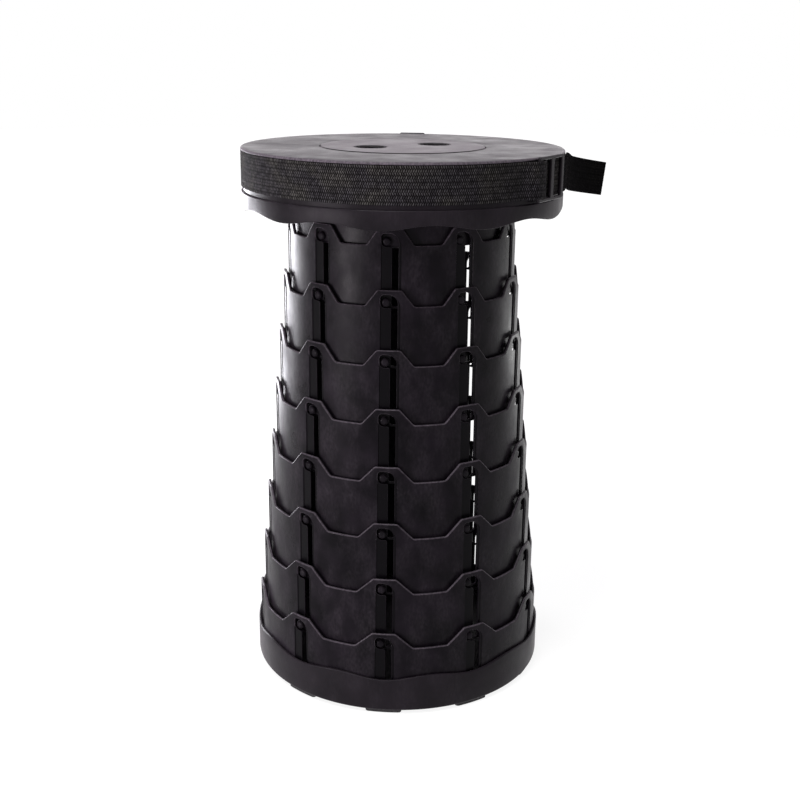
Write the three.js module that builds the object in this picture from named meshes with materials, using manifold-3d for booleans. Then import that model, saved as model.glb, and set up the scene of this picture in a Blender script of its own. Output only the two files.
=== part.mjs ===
// Collapsible telescopic stool: a round seat on nested plastic rings that lock with pins in windows.
// Millimetres, +Z up. The origin is on the floor under the stool's axis, and a window column faces -Y.
// Angles run from -Y towards +X. Ring 1 is the smallest, at the top, and the last ring stands in the base.

import * as THREE from 'three';
import { mergeVertices } from 'three/addons/utils/BufferGeometryUtils.js';
import Module from 'manifold-3d';

const wasm = await Module();
wasm.setup();

// Overall layout
const ringCount = 8;
const sectorCount = 10;
const seatRadius = 125;
const ringPitch = 44;

// Walls and the clearances between nested pieces
const skirtWall = 2.4;
const foldClearance = 2.7;
const rimWall = 2.2;
const ringWall = 2.4;
const ringClearance = 1.575;
const fitGap = 0.3;
const runningGap = 0.2;

// Ring crown: raised tabs over the windows, flat valleys between them
const tabRise = 12.2;
const tabHalfWidth = 9;
const valleyHalfAngle = THREE.MathUtils.degToRad(6.7);

// Window: a pocket that holds the locked pin, beside a slot that runs down to the foot
const crownBand = 3.4;
const pocketEdge = 6.8;
const pocketCorner = 3;
const pocketSweep = 7.1;
const slotNear = 1.2;
const slotWidth = 5;
const footBar = 1.6;
const skinThickness = 1.1;

// Pins near each ring's foot
const pinRadius = 3.4;
const pinOffset = 2.9;
const pinHeadroom = 2.95;
const pinMargin = 1.3;
const pinReach = 1.05;

// Base cup and its feet
const footHeight = 2.7;
const footWidth = 29;
const footDepth = 13;
const footSetback = 2.2;
const basePlate = 3.3;
const landHeight = 3.25;
const landWidth = 5;
const baseCorner = 1.4;
const rimHeight = 31.2;
const rimWave = 1.85;

// Seat cover, its strap groove and its wavy skirt
const seatPlate = 4;
const foldHeadroom = 2.15;
const lipThickness = 1.9;
const lipRound = 1.2;
const grooveSpare = 3.5;
const skirtDrop = 45.05;
const skirtWave = 2.05;
const skirtTurn = THREE.MathUtils.degToRad(-2.5);

// Round insert with two finger holes, on a ledge in the cover inside the seat's own ring
const insertMargin = 19.3;
const insertThickness = 3;
const ledgeReach = 4;
const ledgeWall = 3;
const ledgeThickness = 2.6;
const holeRadius = 12.5;
const holeSpacing = 57;
const holeTurn = THREE.MathUtils.degToRad(35);

// Webbing strap, its buckle, its slide and its free tail
const strapWidth = 27;
const strapThickness = 1.5;
const strapGap = 0.3;
const strapOpening = 5;
const buckleAngle = THREE.MathUtils.degToRad(63);
const buckleLength = 40;
const buckleHeight = 32.4;
const buckleThickness = 2.6;
const buckleEndBar = 4;
const buckleMiddleBar = 5;
const buckleSideBar = 2.4;
const buckleBarPlace = 1.2;
const slideAngle = THREE.MathUtils.degToRad(181.5);
const slideLength = 22;
const slideThickness = 2.2;
const slideBar = 3;
const tailHug = 28;
const tailFree = 94;
const tailBend = 30;
const tailFlare = THREE.MathUtils.degToRad(35);
const tailDroop = THREE.MathUtils.degToRad(8.5);

// Facets and cutters
const overrun = 2;
const levelTolerance = 0.1;
const ringFacets = 40;
const discFacets = 60;
const pinSides = 8;
const holeSides = 24;
const strapSteps = 60;
const tailSteps = 14;
const sweepSteps = 2;
const footSteps = 4;

// Sizes that follow
const sector = 2 * Math.PI / sectorCount;
const rimOuter = seatRadius - skirtWall - foldClearance;
const rimInner = rimOuter - rimWall;
const largestRadius = rimInner - fitGap;
const radiusStep = ringWall + ringClearance;
const pinDrop = crownBand + pinHeadroom + pinRadius;
const pinAboveFoot = pinRadius + pinMargin;
const ringHeight = ringPitch + pinDrop + pinAboveFoot;
const shelfDrop = pinDrop + pinRadius + runningGap;
const pinRoot = skinThickness - fitGap;
const plateTop = footHeight + basePlate;
const landTop = plateTop + landHeight;
const lowestFoot = landTop + fitGap;
const coreRadius = largestRadius - ringCount * radiusStep;
const insertRadius = coreRadius - ringWall - insertMargin;
const coreHeight = ringHeight + foldHeadroom;
const coreFoot = lowestFoot + ringCount * ringPitch;
const seatUnderside = coreFoot + coreHeight + fitGap;
const seatTop = seatUnderside + seatPlate;
const grooveRadius = seatRadius - strapThickness - strapGap;
const strapTop = seatTop - lipThickness - strapGap;
const grooveFloor = strapTop - strapWidth - grooveSpare;
const strapCentre = seatRadius - strapThickness / 2;
const ledgeTop = seatTop - insertThickness - fitGap;

function plastic(name, color, roughness) {
  return new THREE.MeshStandardMaterial({ name, color, roughness, metalness: 0 });
}

// A closed mesh as a solid for cutting and joining
function solidOf(geometry) {
  const bare = geometry.clone();
  bare.deleteAttribute('normal');
  bare.deleteAttribute('uv');
  const merged = mergeVertices(bare);
  return new wasm.Manifold(new wasm.Mesh({
    numProp: 3,
    vertProperties: new Float32Array(merged.attributes.position.array),
    triVerts: new Uint32Array(merged.index.array),
  }));
}

function geometryOf(solid) {
  const mesh = solid.getMesh();
  const geometry = new THREE.BufferGeometry();
  geometry.setAttribute('position', new THREE.BufferAttribute(mesh.vertProperties, 3));
  geometry.setIndex(new THREE.BufferAttribute(mesh.triVerts, 1));
  geometry.computeVertexNormals();
  return geometry;
}

// A profile of [radius, height] points turned about the Z axis
function turned(profile, facets) {
  const points = profile.map(([radius, height]) => new THREE.Vector2(radius, height));
  return new THREE.LatheGeometry(points, facets).rotateX(Math.PI / 2);
}

// An outline of [across, height] points, carried outwards from one radius to another at an angle
function radialPrism(outline, inner, outer, angle) {
  const shape = new THREE.Shape(outline.map(([across, height]) => new THREE.Vector2(across, height)));
  const prism = new THREE.ExtrudeGeometry(shape, { depth: outer - inner, bevelEnabled: false });
  return prism.translate(0, 0, inner).rotateX(Math.PI / 2).rotateZ(angle);
}

// Points along a quarter of an ellipse, without its two ends
function quarter(centreX, centreY, radiusX, radiusY, from, steps) {
  const points = [];
  for (let i = 1; i < steps; i += 1) {
    const angle = from - Math.PI / 2 * i / steps;
    points.push([centreX + radiusX * Math.cos(angle), centreY + radiusY * Math.sin(angle)]);
  }
  return points;
}

// Moves the vertices at one height up and down, in one wave a sector with its low points at a turn
function waveEdge(geometry, height, wave, turn) {
  const place = geometry.attributes.position;
  for (let i = 0; i < place.count; i += 1) {
    if (Math.abs(place.getZ(i) - height) < levelTolerance) {
      const angle = Math.atan2(place.getX(i), -place.getY(i)) - turn;
      place.setZ(i, height - wave * Math.cos(sectorCount * angle));
    }
  }
  return geometry;
}

function ringRadius(number) {
  return largestRadius - (ringCount - number) * radiusStep;
}

function ringFoot(number) {
  return lowestFoot + (ringCount - number) * ringPitch;
}

function tubeWall(radius, foot, height) {
  const inner = radius - ringWall;
  return turned([
    [inner, foot],
    [radius, foot],
    [radius, foot + height],
    [inner, foot + height],
    [inner, foot],
  ], ringFacets);
}

// The part of the wall above a valley and the slopes on its two sides
function valleyCutter(radius, top, angle) {
  const flat = radius * Math.sin(valleyHalfAngle);
  const tabAngle = sector / 2 - Math.asin(tabHalfWidth / radius);
  const open = radius * Math.sin(tabAngle);
  return radialPrism([
    [-flat, top - tabRise],
    [flat, top - tabRise],
    [open, top],
    [open, top + overrun],
    [-open, top + overrun],
    [-open, top],
  ], radius - ringWall - overrun, radius + overrun, angle);
}

// The pocket and the slot, right through the wall
function windowCutter(radius, foot, top, angle) {
  const far = slotNear + slotWidth;
  const sweepX = far - pocketSweep;
  const sweepY = top - crownBand - pocketSweep;
  const cradle = pocketEdge - pinOffset;
  const shelf = top - shelfDrop;
  return radialPrism([
    [slotNear, foot + footBar],
    [slotNear, shelf],
    [-pinOffset, shelf],
    ...quarter(-pinOffset, shelf + cradle, cradle, cradle, -Math.PI / 2, 2),
    [-pocketEdge, shelf + cradle],
    [-pocketEdge, top - crownBand - pocketCorner],
    [-pocketEdge + pocketCorner, top - crownBand],
    [sweepX, top - crownBand],
    ...quarter(sweepX, sweepY, pocketSweep, pocketSweep, Math.PI / 2, sweepSteps),
    [far, sweepY],
    [far, foot + footBar],
  ], radius - ringWall - overrun, radius + overrun, angle);
}

// The relief behind the skin beside the slot, where the pin of the next smaller ring travels
function reliefCutter(radius, foot, top, angle) {
  const shelf = top - shelfDrop;
  return radialPrism([
    [-pocketEdge, foot + footBar],
    [slotNear + slotWidth / 2, foot + footBar],
    [slotNear + slotWidth / 2, shelf + overrun],
    [-pocketEdge, shelf + overrun],
  ], radius - ringWall - overrun, radius - skinThickness, angle);
}

function pin(radius, foot, angle) {
  const inner = radius - pinRoot;
  const length = pinRoot + ringClearance + pinReach;
  const bar = new THREE.CylinderGeometry(pinRadius, pinRadius, length, pinSides);
  return bar.translate(-pinOffset, -inner - length / 2, foot + pinAboveFoot).rotateZ(angle);
}

// A telescoping ring. The last one stands in the base, so it has no pins.
function telescopeRing(number) {
  const radius = ringRadius(number);
  const foot = ringFoot(number);
  const top = foot + ringHeight;
  let solid = solidOf(tubeWall(radius, foot, ringHeight));
  for (let i = 0; i < sectorCount; i += 1) {
    const angle = i * sector;
    solid = solid.subtract(solidOf(valleyCutter(radius, top, angle + sector / 2)));
    solid = solid.subtract(solidOf(windowCutter(radius, foot, top, angle)));
    solid = solid.subtract(solidOf(reliefCutter(radius, foot, top, angle)));
    if (number < ringCount) {
      solid = solid.add(solidOf(pin(radius, foot, angle)));
    }
  }
  return geometryOf(solid);
}

// The seat's own ring, which hangs under the seat and carries the uppermost pins
function seatRing() {
  let solid = solidOf(tubeWall(coreRadius, coreFoot, coreHeight));
  for (let i = 0; i < sectorCount; i += 1) {
    solid = solid.add(solidOf(pin(coreRadius, coreFoot, i * sector)));
  }
  return geometryOf(solid);
}

function baseCup() {
  const landInner = largestRadius - ringWall - landWidth;
  const profile = [
    [0, footHeight],
    [rimOuter - baseCorner, footHeight],
    [rimOuter, footHeight + baseCorner],
    [rimOuter, rimHeight],
    [rimInner, rimHeight],
    [rimInner, landTop],
    [landInner, landTop],
    [landInner, plateTop],
    [0, plateTop],
  ];
  return waveEdge(turned(profile, discFacets), rimHeight, rimWave, 0);
}

function footPad(angle) {
  const outer = rimOuter - footSetback;
  const half = Math.asin(footWidth / 2 / outer);
  const middle = angle - Math.PI / 2;
  const outline = new THREE.Shape();
  outline.absarc(0, 0, outer, middle - half, middle + half, false);
  outline.absarc(0, 0, outer - footDepth, middle + half, middle - half, true);
  const options = { depth: footHeight - fitGap, bevelEnabled: false, curveSegments: footSteps };
  return new THREE.ExtrudeGeometry(outline, options);
}

function seatCover() {
  const bore = insertRadius + fitGap;
  const wallInner = grooveRadius - skirtWall;
  const skirtInner = seatRadius - skirtWall;
  const skirtFoot = seatTop - skirtDrop;
  const profile = [
    [bore, seatTop],
    [bore, ledgeTop],
    [bore - ledgeReach, ledgeTop],
    [bore - ledgeReach, ledgeTop - ledgeThickness],
    [bore + ledgeWall, ledgeTop - ledgeThickness],
    [bore + ledgeWall, seatUnderside],
    [wallInner, seatUnderside],
    [wallInner, grooveFloor - skirtWall],
    [skirtInner, grooveFloor - skirtWall],
    [skirtInner, skirtFoot],
    [seatRadius, skirtFoot],
    [seatRadius, grooveFloor],
    [grooveRadius, grooveFloor],
    [grooveRadius, seatTop - lipThickness],
    [seatRadius, seatTop - lipThickness],
    [seatRadius, seatTop - lipRound],
    [seatRadius - lipRound, seatTop],
    [bore, seatTop],
  ];
  return waveEdge(turned(profile, discFacets), skirtFoot, skirtWave, skirtTurn);
}

function seatInsert() {
  const under = seatTop - insertThickness;
  const profile = [
    [0, under],
    [insertRadius, under],
    [insertRadius, seatTop],
    [0, seatTop],
  ];
  let solid = solidOf(turned(profile, discFacets));
  for (const side of [-1, 1]) {
    const depth = insertThickness + 2 * overrun;
    const drill = new THREE.CylinderGeometry(holeRadius, holeRadius, depth, holeSides);
    drill.rotateX(Math.PI / 2).translate(side * holeSpacing / 2, 0, seatTop - insertThickness / 2);
    solid = solid.subtract(solidOf(drill.rotateZ(holeTurn)));
  }
  return geometryOf(solid);
}

// A length of webbing: a long box whose points are carried onto a route.
// The route turns a distance along the strap into a middle point, a heading and a downward direction.
function webbing(length, steps, route) {
  const strip = new THREE.BoxGeometry(length, strapWidth, strapThickness, steps, 1, 1);
  const place = strip.attributes.position;
  const point = new THREE.Vector3();
  for (let i = 0; i < place.count; i += 1) {
    const { middle, outward, down } = route(place.getX(i) + length / 2);
    point.copy(middle);
    point.addScaledVector(outward, place.getZ(i));
    point.addScaledVector(down, strapWidth / 2 - place.getY(i));
    place.setXYZ(i, point.x, point.y, point.z);
  }
  return strip;
}

function polar(radius, angle, height) {
  return new THREE.Vector3(radius * Math.sin(angle), -radius * Math.cos(angle), height);
}

// The strap lies in the groove all the way round, with its two ends under the buckle
function strapBand() {
  const open = strapOpening / strapCentre;
  const start = buckleAngle + open / 2;
  const length = strapCentre * (2 * Math.PI - open);
  return webbing(length, strapSteps, (along) => {
    const angle = start + along / strapCentre;
    return {
      middle: polar(strapCentre, angle, strapTop),
      outward: polar(1, angle, 0),
      down: new THREE.Vector3(0, 0, -1),
    };
  });
}

// The free end leaves the buckle along the seat, then swings outwards and droops
function strapTail() {
  const radius = seatRadius + strapGap + strapThickness / 2;
  const start = buckleAngle + Math.atan((buckleLength / 2 + strapGap) / radius);
  const leave = start + tailHug / radius;
  return webbing(tailHug + tailFree, tailSteps, (along) => {
    const free = Math.max(along - tailHug, 0);
    const angle = start + Math.min(along, tailHug) / radius;
    const swing = tailFlare * free / tailFree;
    const heading = angle - swing;
    const droop = tailDroop * Math.min(free / tailBend, 1);
    const chord = free > 0 ? free * Math.cos(droop) * Math.sin(swing / 2) / (swing / 2) : 0;
    const middle = polar(radius, angle, strapTop - free * Math.sin(droop));
    middle.addScaledVector(polar(1, leave - swing / 2 + Math.PI / 2, 0), chord);
    return {
      middle,
      outward: polar(1, heading, 0),
      down: polar(Math.sin(droop), heading - Math.PI / 2, -Math.cos(droop)),
    };
  });
}

// A flat frame of webbing hardware, tangent to the strap, with a window on each side of its cross bar
function strapFrame(length, thickness, endBar, middleBar, barPlace, angle) {
  const half = buckleHeight / 2;
  const centre = strapTop - strapWidth / 2;
  const reach = half - buckleSideBar;
  const inner = seatRadius + strapGap;
  const outer = inner + thickness;
  const upright = (near, far, low, high) => [[near, low], [far, low], [far, high], [near, high]];
  const plate = upright(-length / 2, length / 2, centre - half, centre + half);
  const spans = [
    [-length / 2 + endBar, barPlace - middleBar / 2],
    [barPlace + middleBar / 2, length / 2 - endBar],
  ];
  let solid = solidOf(radialPrism(plate, inner, outer, angle));
  for (const [near, far] of spans) {
    const opening = upright(near, far, centre - reach, centre + reach);
    const cutter = radialPrism(opening, inner - overrun, outer + overrun, angle);
    solid = solid.subtract(solidOf(cutter));
  }
  return geometryOf(solid);
}

const shellPlastic = plastic('shell_plastic', 0x1d1b1f, 0.42);
const ringPlastic = plastic('ring_plastic', 0x1b191d, 0.45);
const insertPlastic = plastic('insert_plastic', 0x201e22, 0.5);
const footRubber = plastic('foot_rubber', 0x161517, 0.8);
const webbingCloth = plastic('webbing_cloth', 0x1c1b19, 0.9);
const bucklePlastic = plastic('buckle_plastic', 0x19181a, 0.35);

const stool = new THREE.Group();

function add(name, geometry, material) {
  const mesh = new THREE.Mesh(geometry, material.clone());
  mesh.name = name;
  stool.add(mesh);
}

add('seat_cover', seatCover(), shellPlastic);
add('seat_insert', seatInsert(), insertPlastic);
add('seat_ring', seatRing(), ringPlastic);
for (let number = 1; number <= ringCount; number += 1) {
  add(`ring_${number}`, telescopeRing(number), ringPlastic);
}
add('base_cup', baseCup(), shellPlastic);
for (let i = 0; i < sectorCount; i += 1) {
  add(`foot_${String(i + 1).padStart(2, '0')}`, footPad(i * sector), footRubber);
}
add('strap_band', strapBand(), webbingCloth);
add('strap_tail', strapTail(), webbingCloth);
add('strap_buckle', strapFrame(
  buckleLength, buckleThickness, buckleEndBar, buckleMiddleBar, buckleBarPlace, buckleAngle,
), bucklePlastic);
add('strap_slide', strapFrame(
  slideLength, slideThickness, slideBar, slideBar, 0, slideAngle,
), bucklePlastic);

export default stool;
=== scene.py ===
# Collapsible telescopic stool: the finished look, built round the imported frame.
# Metres, +Z up. Angles run from -Y towards +X. Ring 1 is the smallest, ring 8 stands in the base.
# The settings are in millimetres and degrees.
import math
import bmesh
import bpy
import numpy as np
from mathutils import Matrix, Vector
from mathutils.geometry import delaunay_2d_cdt


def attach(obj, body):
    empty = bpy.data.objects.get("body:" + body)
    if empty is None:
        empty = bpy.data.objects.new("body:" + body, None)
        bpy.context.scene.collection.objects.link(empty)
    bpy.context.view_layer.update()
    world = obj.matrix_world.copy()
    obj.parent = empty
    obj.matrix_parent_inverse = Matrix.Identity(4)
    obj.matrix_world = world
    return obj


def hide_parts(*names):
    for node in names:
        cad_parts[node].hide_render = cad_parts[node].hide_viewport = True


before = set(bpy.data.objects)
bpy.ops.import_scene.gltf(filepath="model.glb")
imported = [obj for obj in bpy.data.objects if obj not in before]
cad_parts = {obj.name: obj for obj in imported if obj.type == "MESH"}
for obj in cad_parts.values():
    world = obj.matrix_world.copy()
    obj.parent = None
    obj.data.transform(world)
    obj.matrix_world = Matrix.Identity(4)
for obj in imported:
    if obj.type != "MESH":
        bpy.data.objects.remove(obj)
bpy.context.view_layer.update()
mm = 0.001
turn = 2 * np.pi

seat = {
    "radius": 125, "top": 426.45, "plate": 4, "wall": 2.4, "lip": 1.9, "lipRound": 1.7,
    "grooveRadius": 123.2, "grooveFloor": 393.75, "shoulderRound": 0.9,
    "skirtFoot": 381.4, "skirtWave": 2.05, "skirtTurn": -2.5, "footRound": 0.7,
    "boreRadius": 64.4, "boreRound": 0.5, "ledgeDrop": 3.3, "ledgeReach": 4, "ledgeWall": 3,
    "ledgeThickness": 2.6, "ledgeRound": 0.2, "underRound": 0.6, "grooveRound": 0.3, "lipFootRound": 0.35,
    "lipHighlightWidth": 1.6, "boreShadeWidth": 1, "paintedBandStart": 0.02, "paintedBandPast": 0.1, "columns": 240,
}
ring = {
    "count": 8, "sectors": 10, "largest": 117.4, "step": 3.975, "wall": 2.4, "pitch": 44,
    "height": 58.45, "lowestFoot": 9.55, "tabRise": 12.2, "tabHalf": 9, "valleyHalf": 6.7,
    "cornerRound": 3, "crownBand": 3.4, "pocketEdge": 6.8, "pocketCorner": 3, "pocketSweep": 7.1,
    "slotNear": 1.2, "slotWidth": 5, "footBar": 1.6, "shelfDrop": 13.35, "cornerSmall": 1.2,
    "skin": 1.1, "slope": 0.6, "recess": 0.6, "recessEdge": 0.35, "strip": 2.2, "edge": 0.4, "crownEdge": 0.85,
    "hold": 0.3, "coreHeight": 60.6, "spotsAcross": 19, "spotsUp": 16, "finePoints": 24, "fineStart": 1.2,
    "corePoints": 25, "sideGap": 2,
}
pin = {"radius": 3.4, "offset": 2.9, "aboveFoot": 4.7, "reach": 2.625, "root": 0.5,
       "round": 2.4, "flat": 1.0, "dish": 0.12, "sides": 24}


def straight(start, end, spacing=2.5):
    # Points from start towards end, evenly spaced, without the end itself
    start, end = np.array(start, float), np.array(end, float)
    count = max(1, math.ceil(np.linalg.norm(end - start) / spacing))
    share = np.arange(count)[:, None] / count
    return start + (end - start) * share


def bow(centre, radius, first, last, steps=6):
    # Points on a circle: centre + radius * (cos a, sin a), with a from first to last in degrees
    angles = np.radians(np.linspace(first, last, steps + 1))
    return np.array(centre) + radius * np.stack([np.cos(angles), np.sin(angles)], 1)


def softened(corners, radii, closed, spacing=2.5, steps=5):
    # A line of corners, each one replaced by an arc of its own radius that meets both sides square
    corners = np.array(corners, float)
    count = len(corners)
    parts = []
    for i in range(count):
        here, radius = corners[i], radii[i]
        if radius == 0 or (not closed and i in (0, count - 1)):
            parts.append(here[None])
            continue
        back = corners[i - 1] - here
        ahead = corners[(i + 1) % count] - here
        back, ahead = back / np.linalg.norm(back), ahead / np.linalg.norm(ahead)
        half = math.acos(np.clip(back @ ahead, -1, 1)) / 2
        start, end = here + back * radius / math.tan(half), here + ahead * radius / math.tan(half)
        middle = (back + ahead) / np.linalg.norm(back + ahead)
        centre = here + middle * radius / math.sin(half)
        first = math.atan2(*(start - centre)[::-1])
        sweep = (math.atan2(*(end - centre)[::-1]) - first + math.pi) % turn - math.pi
        parts.append(bow(centre, radius, math.degrees(first), math.degrees(first + sweep), steps))
    line = [parts[0]]
    for part in parts[1:]:
        line += [straight(line[-1][-1], part[0], spacing)[1:], part]
    if closed:
        line.append(straight(line[-1][-1], parts[0][0], spacing)[1:])
    return np.concatenate(line)


def moved(line, distance, closed):
    # Each point goes to its left by the distance, along the mitre of its two neighbouring sides
    ahead = np.roll(line, -1, 0) - line
    if not closed:
        ahead[-1] = ahead[-2]
    ahead /= np.linalg.norm(ahead, axis=1)[:, None]
    behind = np.roll(ahead, 1, 0)
    if not closed:
        behind[0] = ahead[0]
    left = np.stack([-ahead[:, 1], ahead[:, 0]], 1)
    leftBefore = np.stack([-behind[:, 1], behind[:, 0]], 1)
    mitre = (left + leftBefore) / (1 + (left * leftBefore).sum(1))[:, None]
    return line + mitre * distance


def inside(points, loop):
    # Even-odd rule: a point is inside if a ray from it crosses the loop an odd number of times
    px, py = points[:, 0][:, None], points[:, 1][:, None]
    ax, ay = loop[:, 0], loop[:, 1]
    bx, by = np.roll(ax, -1), np.roll(ay, -1)
    spans = (ay > py) != (by > py)
    crossing = ax + (py - ay) * (bx - ax) / np.where(by == ay, 1e-12, by - ay)
    return (spans & (px < crossing)).sum(1) % 2 == 1


def gridFaces(rows, columns, closed, first=0):
    # Quads between neighbouring rows and columns of a grid of points, numbered row by row
    r = np.arange(rows - 1)[:, None]
    c = np.arange(columns if closed else columns - 1)[None]
    n = (c + 1) % columns
    quads = np.stack([r * columns + c, r * columns + n, (r + 1) * columns + n, (r + 1) * columns + c], -1)
    return quads.reshape(-1, 4) + first


def edgeProfile(thickness, edge, hold, steps=3):
    # (inset, depth) across a wall's edge: a flat strip, a quarter round, the edge, and the same again
    a = np.linspace(np.pi / 2, 0, steps + 1)
    inset, depth = edge * (1 - np.cos(a)), edge * (1 - np.sin(a))
    inset = np.concatenate([[edge + hold], inset, inset[::-1], [edge + hold]])
    depth = np.concatenate([[0], depth, thickness - depth[::-1], [thickness]])
    return np.stack([inset, depth], 1)


def flatWall(loops, thickness, edge, hold, spots, sides=None, fine=None):
    # A wall seen flat, in (across, up, depth). Each loop is (line, closed) or (line, closed, its own edge), with
    # the material on its left. Round every loop runs the edge profile; both faces are one triangulation with
    # spots inside it.
    points, faces, wearAndPaintedLight, start = [], [], [], 0
    inner = []
    for line, closed, *own in loops:
        size = own[0] if own else edge
        profile = edgeProfile(thickness, size, hold)
        # The front rounded edges are marked for the paler colour: a painted highlight, partly wear
        wearAndLightMarks = (profile[:, 0] < size * 0.8) & (profile[:, 1] < thickness / 2)
        rows = np.stack([moved(line, inset, closed) for inset in profile[:, 0]])
        depth = np.broadcast_to(profile[:, 1][:, None, None], rows.shape[:2] + (1,))
        points.append(np.concatenate([rows, depth], 2).reshape(-1, 3))
        wearAndPaintedLight.append(np.repeat(wearAndLightMarks, len(line)))
        faces += gridFaces(len(profile), len(line), closed, start).tolist()
        start += len(profile) * len(line)
        inner.append((rows[0], closed))
    opened = [line for line, closed in inner if not closed]
    closedLoops = [line for line, closed in inner if closed]
    if opened:                          # the open lines and the shared side points make the outer loop
        bottom, top = opened
        right = np.stack([np.full(len(sides), bottom[-1, 0]), sides], 1)
        left = np.stack([np.full(len(sides), bottom[0, 0]), sides[::-1]], 1)
        outer = np.concatenate([bottom, right, top, left])
        holes = closedLoops
    else:
        outer, holes = closedLoops[0], closedLoops[1:]
    border = np.concatenate([outer] + holes)
    spots = spots if fine is None else np.concatenate([spots, fine])
    keep = inside(spots, outer)
    for hole in holes:
        keep &= ~inside(spots, hole)
    room = np.full(len(spots), 0.9)
    if fine is not None:
        room[-len(fine):] = 0.25
    gap = np.linalg.norm(spots[:, None] - border[None], axis=2).min(1)
    spots = spots[keep & (gap > room)]
    sites = np.concatenate([border, spots])
    edges, first = [], 0
    for loop in [outer] + holes:
        numbers = np.arange(len(loop))
        edges += (np.stack([numbers, np.roll(numbers, -1)], 1) + first).tolist()
        first += len(loop)
    found = delaunay_2d_cdt([Vector(p) for p in sites.tolist()], edges, [], 0, 1e-6)
    flat = np.array([v[:] for v in found[0]])
    triangles = np.array([f for f in found[2] if len(f) == 3])
    centres = flat[triangles].mean(1)
    use = inside(centres, outer)
    for hole in holes:
        use &= ~inside(centres, hole)
    triangles = triangles[use]
    for depth, order in ((0.0, [0, 1, 2]), (thickness, [2, 1, 0])):
        points.append(np.concatenate([flat, np.full((len(flat), 1), depth)], 1))
        faces += (triangles[:, order] + start).tolist()
        wearAndPaintedLight.append(np.zeros(len(flat), bool))
        start += len(flat)
    return np.concatenate(points), faces, np.concatenate(wearAndPaintedLight)


def polar(radius, angle, height):
    # (radius * sin angle, -radius * cos angle, height)
    return np.stack([radius * np.sin(angle), -radius * np.cos(angle), height + 0 * angle], -1)


def repeated(points, faces, copies):
    # The same flat sector at every column angle
    parts, allFaces = [], []
    for i in range(copies):
        parts.append(points)
        allFaces += [[v + i * len(points) for v in f] for f in faces]
    return np.stack(parts), allFaces


def solidPiece(name, points, faces, material, body, nodes, wearAndPaintedLight=None, sharp=35, weld=0.002):
    # A mesh from points in millimetres, welded where parts meet, with its faces turned outwards
    mesh = bpy.data.meshes.new(name)
    mesh.from_pydata((np.asarray(points) * mm).tolist(), [], faces)
    # Per point: 1 paints an edge paler, a painted highlight with some wear; -1 paints shade
    wearAndLightMarks = np.zeros(len(points), np.float32)
    if wearAndPaintedLight is not None:
        wearAndLightMarks[:len(wearAndPaintedLight)] = wearAndPaintedLight
    mesh.attributes.new("wearAndPaintedLight", "FLOAT", "POINT").data.foreach_set("value", wearAndLightMarks)
    work = bmesh.new()
    work.from_mesh(mesh)
    if weld:
        bmesh.ops.remove_doubles(work, verts=work.verts, dist=weld * mm)
    bmesh.ops.recalc_face_normals(work, faces=work.faces)
    openEdges = sum(1 for e in work.edges if not e.is_manifold)
    if openEdges:
        print("open edges in", name, openEdges)
    work.to_mesh(mesh)
    work.free()
    mesh.shade_smooth()
    mesh.set_sharp_from_angle(angle=math.radians(sharp))
    piece = bpy.data.objects.new(name, mesh)
    bpy.context.scene.collection.objects.link(piece)
    mesh.materials.append(material)
    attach(piece, body)
    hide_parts(*nodes)
    return piece


def newMaterial(name):
    material = bpy.data.materials.new(name)
    material.use_nodes = True
    nodes, links = material.node_tree.nodes, material.node_tree.links
    shader = nodes["Principled BSDF"]
    return material, nodes, links, shader


def noiseNode(nodes, links, source, scale, detail, stretch=(1, 1, 1)):
    mapping = nodes.new("ShaderNodeMapping")
    mapping.inputs["Scale"].default_value = stretch
    links.new(source, mapping.inputs["Vector"])
    noise = nodes.new("ShaderNodeTexNoise")
    noise.inputs["Scale"].default_value = scale
    noise.inputs["Detail"].default_value = detail
    links.new(mapping.outputs["Vector"], noise.inputs["Vector"])
    return noise.outputs["Fac"]


def remap(nodes, links, source, low, high, outLow, outHigh):
    node = nodes.new("ShaderNodeMapRange")
    for name, value in (("From Min", low), ("From Max", high), ("To Min", outLow), ("To Max", outHigh)):
        node.inputs[name].default_value = value
    links.new(source, node.inputs["Value"])
    return node.outputs["Result"]


def mixColours(nodes, links, factor, first, second):
    node = nodes.new("ShaderNodeMix")
    node.data_type = "RGBA"
    links.new(factor, node.inputs["Factor"])
    node.inputs[6].default_value = (*first, 1)      # the colour sockets
    node.inputs[7].default_value = (*second, 1)
    return node.outputs[2]


def mixedWith(nodes, links, factor, before, colour):
    node = nodes.new("ShaderNodeMix")
    node.data_type = "RGBA"
    links.new(factor, node.inputs["Factor"])
    links.new(before, node.inputs[6])
    node.inputs[7].default_value = (*colour, 1)
    return node.outputs[2]


def product(nodes, links, first, second, share):
    # first * second * share
    times = nodes.new("ShaderNodeMath")
    times.operation = "MULTIPLY"
    links.new(first, times.inputs[0])
    links.new(second, times.inputs[1])
    scaled = nodes.new("ShaderNodeMath")
    scaled.operation = "MULTIPLY"
    links.new(times.outputs[0], scaled.inputs[0])
    scaled.inputs[1].default_value = share
    return scaled.outputs[0]


def bumpNode(nodes, links, height, strength, distance, before=None):
    node = nodes.new("ShaderNodeBump")
    node.inputs["Strength"].default_value = strength
    node.inputs["Distance"].default_value = distance
    links.new(height, node.inputs["Height"])
    if before is not None:
        links.new(before, node.inputs["Normal"])
    return node.outputs["Normal"]


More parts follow.
